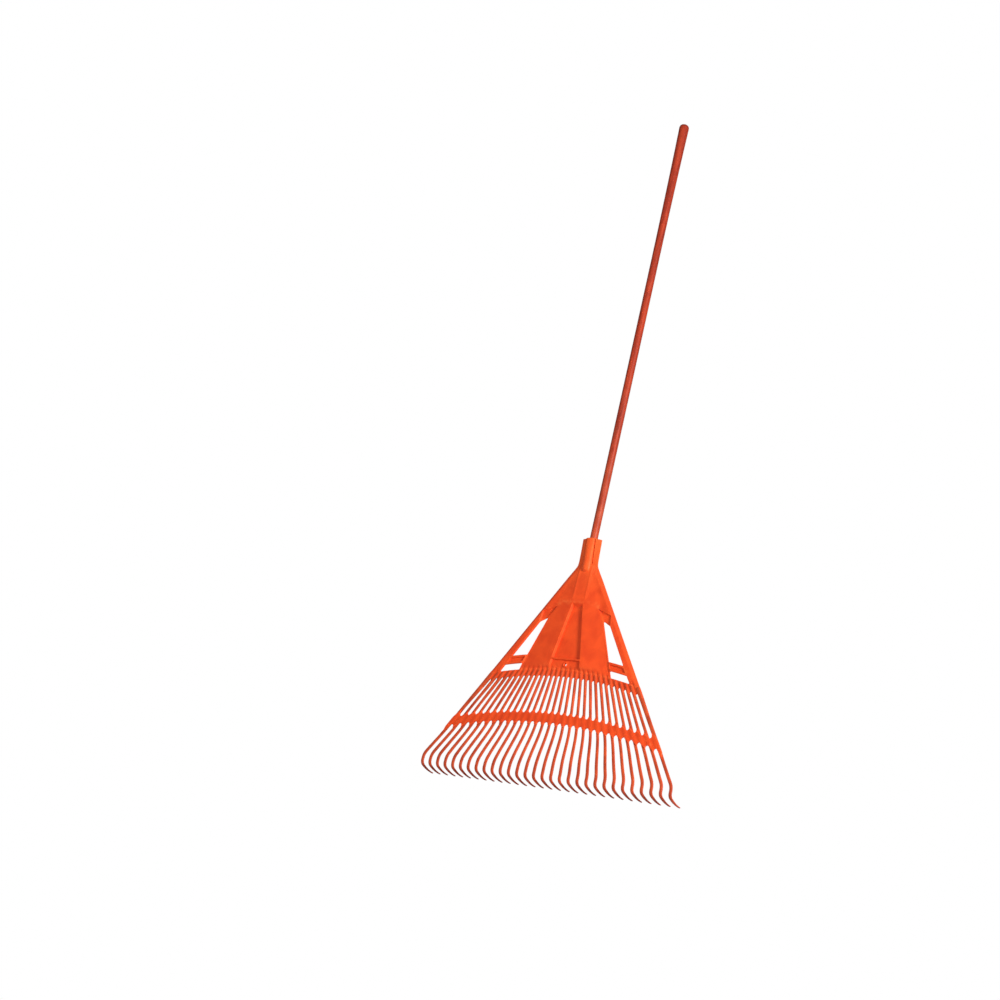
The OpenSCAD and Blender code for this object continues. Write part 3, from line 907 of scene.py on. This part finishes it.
def handle_piece(material):
    """Straight shaft, a taper out to the thick end, and its rounded top."""
    taper_h, dome_h = HANDLE_TOP_H - TAPER_LENGTH, HANDLE_TOP_H - DOME
    profile = [(SHAFT_R - 0.8, INSERT_H), (SHAFT_R, INSERT_H + 0.8)]
    profile += [(SHAFT_R, h) for h in np.linspace(INSERT_H + 20, taper_h, 24)]
    profile += [(SHAFT_R + (END_R - SHAFT_R) * f * f, taper_h + (dome_h - taper_h) * f)
                for f in np.linspace(0, 1, 25)[1:]]
    profile += [(END_R * (1 - f ** DOME_POWER) ** (1 / DOME_POWER), dome_h + DOME * f)
                for f in (0.15, 0.3, 0.45, 0.6, 0.72, 0.82, 0.9, 0.95, 0.98, 0.995)]
    o = lathe("handle_form", profile + [(1.0, HANDLE_TOP_H)])
    return finish_piece(o, ["handle"], material)


# ---------- Materials ----------

class Shader:
    """A material's node tree, with short ways to add nodes.

    Every texture uses the row frame, in metres.
    """

    def __init__(self, name):
        self.material = bpy.data.materials.new(name)
        self.material.use_nodes = True
        self.tree = self.material.node_tree
        self.surface = self.tree.nodes["Principled BSDF"]
        self.where = self.node("ShaderNodeTexCoord").outputs["Object"]

    def node(self, kind, inputs=None, **settings):
        made = self.tree.nodes.new(kind)
        for key, value in settings.items():
            setattr(made, key, value)
        for key, value in (inputs or {}).items():
            self.put(made.inputs[key], value)
        return made

    def put(self, socket, value):
        if isinstance(value, bpy.types.NodeSocket):
            self.tree.links.new(value, socket)
        else:
            socket.default_value = value

    def noise(self, scale, detail=3.0, stretch=(1, 1, 1), distortion=0.0):
        where = self.node("ShaderNodeMapping", {"Vector": self.where, "Scale": stretch}).outputs[0]
        return self.node("ShaderNodeTexNoise", {"Vector": where, "Scale": scale, "Detail": detail,
                                                "Distortion": distortion}).outputs["Fac"]

    def ramp(self, value, *stops):
        made = self.node("ShaderNodeValToRGB", {"Fac": value})
        elements = made.color_ramp.elements
        while len(elements) < len(stops):
            elements.new(0.5)
        for element, (at, colour) in zip(elements, stops):
            element.position = at
            element.color = (*colour, 1)
        return made.outputs["Color"]

    def spread(self, value, low, high, to_low=0.0, to_high=1.0):
        return self.node("ShaderNodeMapRange", {"Value": value, "From Min": low, "From Max": high,
                                                "To Min": to_low, "To Max": to_high}).outputs["Result"]

    def mix(self, factor, a, b):
        made = self.node("ShaderNodeMix", data_type="RGBA", blend_type="MIX")
        for index, value in ((0, factor), (6, a), (7, b)):
            self.put(made.inputs[index], (*value, 1) if isinstance(value, tuple) else value)
        return made.outputs[2]

    def times(self, a, b):
        return self.node("ShaderNodeMath", {0: a, 1: b}, operation="MULTIPLY").outputs[0]

    def edges(self, low, high):
        """0 at the first curvature and 1 at the second.

        0.5 is flat, outward edges are above it and hollows below.
        """
        return self.spread(self.node("ShaderNodeNewGeometry").outputs["Pointiness"], low, high)

    def height(self):
        return self.node("ShaderNodeSeparateXYZ", {"Vector": self.where}).outputs["Z"]

    def bumps(self, *layers):
        """Chains bumps of (height, strength, distance in metres)."""
        normal = None
        for value, strength, depth in layers:
            inputs = {"Height": value, "Strength": strength, "Distance": depth}
            if normal is not None:
                inputs["Normal"] = normal
            normal = self.node("ShaderNodeBump", inputs).outputs["Normal"]
        self.put(self.surface.inputs["Normal"], normal)

    def done(self, colour, roughness, **constants):
        self.put(self.surface.inputs["Base Color"], colour)
        self.put(self.surface.inputs["Roughness"], roughness)
        for key, value in constants.items():
            self.surface.inputs[key.replace("_", " ")].default_value = value
        return self.material


# The first colour is painted light, a paler orange for the lit look towards the socket; the second is
# painted shade for the hollows.
PAINTED_LIGHT_ORANGE, HOLLOW_SHADE = (0.92, 0.135, 0.024), (0.36, 0.03, 0.012)
# Heights in mm over which that painted light comes in.
PAINTED_LIGHT_LOW_H, PAINTED_LIGHT_HIGH_H = 480, 600


def moulded_plastic(name, light, deep, pale, darker_colour, darker_from, darker_to):
    """Satin moulded plastic: cloudy colour, fine grain, paler convex edges that are partly wear and
    partly painted highlight, painted shade in the hollows, painted light making it paler towards
    the socket, and darker and browner between two heights in mm."""
    s = Shader(name)
    clouds = s.noise(28, 4.0, distortion=0.6)
    colour = s.ramp(clouds, (0.32, deep), (0.62, light))
    speckle = s.spread(s.noise(420, 2.0), 0.58, 0.72)
    colour = s.mix(s.times(speckle, 0.22), colour, deep)
    # Painted light: paler and yellower towards the socket, for the brighter look of its lit faces.
    painted_light = s.spread(s.height(), TIP_LEVEL + PAINTED_LIGHT_LOW_H * MM, TIP_LEVEL + PAINTED_LIGHT_HIGH_H * MM,
                     0.0, 0.6)
    colour = s.mix(s.times(painted_light, s.spread(clouds, 0.2, 0.6, 0.7, 1.0)), colour, PAINTED_LIGHT_ORANGE)
    # Paler convex edges: partly wear, partly a painted highlight where the edges catch the light.
    wear_and_highlight = s.times(s.edges(0.505, 0.56), s.spread(s.noise(90, 3.0), 0.38, 0.62))
    colour = s.mix(s.times(wear_and_highlight, 0.5), colour, pale)
    # Painted shade: a dark colour in the hollows, where shade falls.
    hollow_shade = s.times(s.edges(0.47, 0.41), s.spread(s.noise(70, 3.0), 0.25, 0.5))
    colour = s.mix(s.times(hollow_shade, 0.75), colour, HOLLOW_SHADE)
    # Darker and browner between two heights, towards the tine tips.
    low = s.spread(s.height(), TIP_LEVEL + darker_from * MM, TIP_LEVEL + darker_to * MM)
    darkening = s.times(low, s.spread(s.noise(150, 4.0), 0.2, 0.6))
    colour = s.mix(s.times(darkening, 0.4), colour, darker_colour)
    scuffs = s.spread(s.noise(60, 4.0, stretch=(1, 1, 0.25)), 0.35, 0.7, 0.42, 0.62)
    s.bumps((s.noise(900, 2.0), 0.12, 0.0004), (s.noise(38, 2.0), 0.05, 0.003))
    return s.done(colour, scuffs, Specular_IOR_Level=0.2)


STAIN = (0.3, (0.17, 0.014, 0.004)), (0.5, (0.33, 0.028, 0.007)), (0.72, (0.46, 0.050, 0.012))
RUBBED, PATCH, PORE = (0.56, 0.105, 0.045), (0.22, 0.018, 0.010), (0.07, 0.008, 0.006)
# A darker colour for the handle's top end.
END_DARKENING = (0.10, 0.010, 0.007)


def stained_wood():
    """Turned hardwood under a worn red stain: long streaks, darker pores and patches, paler where
    it is rubbed towards the socket, and darker at the top end."""
    s = Shader("stained_wood")
    streaks = s.noise(14, 5.0, stretch=(7, 7, 0.8), distortion=0.8)
    colour = s.ramp(streaks, *STAIN)
    rubbed = s.times(s.spread(s.height(), 0.1, -0.35), s.spread(s.noise(18, 3.0), 0.3, 0.62))
    colour = s.mix(s.times(rubbed, 0.55), colour, RUBBED)
    patches = s.spread(s.noise(11, 3.0, stretch=(1, 1, 0.6)), 0.42, 0.66)
    colour = s.mix(s.times(patches, 0.45), colour, PATCH)
    pores = s.spread(s.noise(60, 2.0, stretch=(12, 12, 0.9)), 0.60, 0.70)
    colour = s.mix(s.times(pores, 0.6), colour, PORE)
    # Darker towards the top end.
    end = s.spread(s.height(), TIP_LEVEL + (HANDLE_TOP_H - 9) * MM,
                   TIP_LEVEL + (HANDLE_TOP_H - 2) * MM)
    rim = s.times(end, s.spread(s.noise(120, 3.0), 0.25, 0.6))
    colour = s.mix(s.times(rim, 0.6), colour, END_DARKENING)
    s.bumps((streaks, 0.18, 0.0006), (pores, 0.25, 0.0002))
    return s.done(colour, s.spread(patches, 0, 1, 0.45, 0.6), Specular_IOR_Level=0.2)


def plated_steel():
    """Zinc-plated steel with a brushed, slightly mottled face."""
    s = Shader("plated_steel")
    brushed = s.noise(300, 3.0, stretch=(1, 1, 12))
    colour = s.ramp(brushed, (0.3, (0.42, 0.42, 0.40)), (0.7, (0.66, 0.66, 0.63)))
    s.bumps((brushed, 0.15, 0.0001))
    return s.done(colour, s.spread(brushed, 0.3, 0.7, 0.28, 0.42), Metallic=1.0)


# The plate and the bands get no darkening towards the bottom, so its heights lie below the tips.
plastic = moulded_plastic(
    "head_orange", light=(0.86, 0.080, 0.012), deep=(0.74, 0.058, 0.009), pale=(0.93, 0.17, 0.040),
    darker_colour=(0.30, 0.035, 0.015), darker_from=0, darker_to=-1)
tine_plastic = moulded_plastic(
    "tine_orange", light=(0.64, 0.082, 0.020), deep=(0.44, 0.048, 0.013), pale=(0.80, 0.14, 0.04),
    darker_colour=(0.34, 0.052, 0.026), darker_from=90, darker_to=10)
wood = stained_wood()
steel = plated_steel()

head_sheet(plastic)
lower_band(plastic)
socket_piece(plastic)
handle_piece(wood)
for number in range(1, TINES + 1):
    tine_piece(number, tine_plastic)

SCREW_BEVEL = 0.35
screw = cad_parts["socket_screw"]
weld = screw.modifiers.new("weld", "WELD")
weld.merge_threshold = 1e-5
bevel = screw.modifiers.new("bevel", "BEVEL")
bevel.width, bevel.segments, bevel.limit_method = SCREW_BEVEL * MM, 3, "ANGLE"
screw.data.materials.clear()
screw.data.materials.append(steel)


# ---------- Floor, light and camera ----------

AMBIENT = 0.31
FLOOR_HALF = 80.0
FLOOR_COLOUR = (0.86, 0.86, 0.85)
FLOOR_SEEN, FLOOR_GLOW = (0.22, 0.22, 0.218), (0.56, 0.56, 0.555)


def floor():
    """A pale floor under the tips. It shows only from above, because this camera stands lower.

    To the camera it has a darker colour and a soft glow, which lift it outside the key light's
    pool. It isn't even: near the key light it burns out, and it dims where that light stops.
    """
    corners = [(x * FLOOR_HALF, y * FLOOR_HALF, TIP_LEVEL)
               for x, y in ((-1, -1), (1, -1), (1, 1), (-1, 1))]
    mesh = bpy.data.meshes.new("floor")
    mesh.from_pydata(corners, [], [(0, 1, 2, 3)])
    o = bpy.data.objects.new("floor", mesh)
    bpy.context.scene.collection.objects.link(o)
    material = bpy.data.materials.new("floor_paper")
    material.use_nodes = True
    nodes, links = material.node_tree.nodes, material.node_tree.links
    surface = nodes["Principled BSDF"]
    seen = nodes.new("ShaderNodeLightPath").outputs["Is Camera Ray"]
    tone = nodes.new("ShaderNodeMix")
    tone.data_type = "RGBA"
    tone.inputs[6].default_value = (*FLOOR_COLOUR, 1)
    tone.inputs[7].default_value = (*FLOOR_SEEN, 1)
    links.new(seen, tone.inputs[0])
    links.new(tone.outputs[2], surface.inputs["Base Color"])
    surface.inputs["Roughness"].default_value = 0.9
    surface.inputs["Emission Color"].default_value = (*FLOOR_GLOW, 1)
    links.new(seen, surface.inputs["Emission Strength"])
    clear, mix = nodes.new("ShaderNodeBsdfTransparent"), nodes.new("ShaderNodeMixShader")
    links.new(nodes.new("ShaderNodeNewGeometry").outputs["Backfacing"], mix.inputs[0])
    links.new(surface.outputs[0], mix.inputs[1])
    links.new(clear.outputs[0], mix.inputs[2])
    links.new(mix.outputs[0], nodes["Material Output"].inputs["Surface"])
    o.data.materials.append(material)


def pale_world():
    """Even pale light, and a plain white backdrop where the camera sees past the floor."""
    world = bpy.data.worlds.new("studio")
    bpy.context.scene.world = world
    world.use_nodes = True
    nodes, links = world.node_tree.nodes, world.node_tree.links
    seen, light = nodes["Background"], nodes.new("ShaderNodeBackground")
    seen.inputs["Color"].default_value = (1, 1, 1, 1)
    light.inputs["Color"].default_value = (1, 0.985, 0.965, 1)
    light.inputs["Strength"].default_value = AMBIENT
    mix = nodes.new("ShaderNodeMixShader")
    links.new(nodes.new("ShaderNodeLightPath").outputs["Is Camera Ray"], mix.inputs[0])
    links.new(light.outputs[0], mix.inputs[1])
    links.new(seen.outputs[0], mix.inputs[2])
    links.new(mix.outputs[0], nodes["World Output"].inputs["Surface"])


def soft_light(name, turn, rise, away, size, watts, aim):
    """An area light that aim sees at a turn right of the front and a rise above it, in degrees."""
    a, e = math.radians(turn), math.radians(rise)
    d = Vector((math.sin(a) * math.cos(e), -math.cos(a) * math.cos(e), math.sin(e)))
    data = bpy.data.lights.new(name, "AREA")
    data.shape, data.size, data.energy = "DISK", size, watts
    o = bpy.data.objects.new(name, data)
    o.matrix_world = (Matrix.Translation(Vector(aim) + d * away)
                      @ d.to_track_quat("Z", "Y").to_matrix().to_4x4())
    bpy.context.scene.collection.objects.link(o)


VIEW_TURN, VIEW_RISE, VIEW_ROLL = (math.radians(a) for a in (40.0, -13.66, 13.08))
VIEW_AWAY, VIEW_LEFT, VIEW_UP = 5.0224, 0.0951, 0.6911
LENS, SENSOR = 74.85, 36.0


def camera():
    """Looks from the right and a little below, tilted, with the rake's tip level as its mark."""
    out = Vector((math.sin(VIEW_TURN) * math.cos(VIEW_RISE),
                  -math.cos(VIEW_TURN) * math.cos(VIEW_RISE), math.sin(VIEW_RISE)))
    level = Vector((math.cos(VIEW_TURN), math.sin(VIEW_TURN), 0))
    upright = level.cross(-out)
    right = math.cos(VIEW_ROLL) * level + math.sin(VIEW_ROLL) * upright
    up = -math.sin(VIEW_ROLL) * level + math.cos(VIEW_ROLL) * upright
    place_at = Vector((0, 0, TIP_LEVEL)) - right * VIEW_LEFT + up * VIEW_UP + out * VIEW_AWAY
    data = bpy.data.cameras.new("camera")
    data.lens, data.sensor_width, data.sensor_fit = LENS, SENSOR, "HORIZONTAL"
    o = bpy.data.objects.new("camera", data)
    o.matrix_world = Matrix.Translation(place_at) @ Matrix((right, up, out)).transposed().to_4x4()
    bpy.context.scene.collection.objects.link(o)
    bpy.context.scene.camera = o


floor()
pale_world()
soft_light("key", turn=68, rise=8, away=4.5, size=1.1, watts=240, aim=(0, 0, -0.55))
soft_light("fill", turn=0, rise=20, away=5.0, size=3.0, watts=38, aim=(0, 0, -0.3))
camera()
bpy.context.scene.view_settings.view_transform = "Standard"
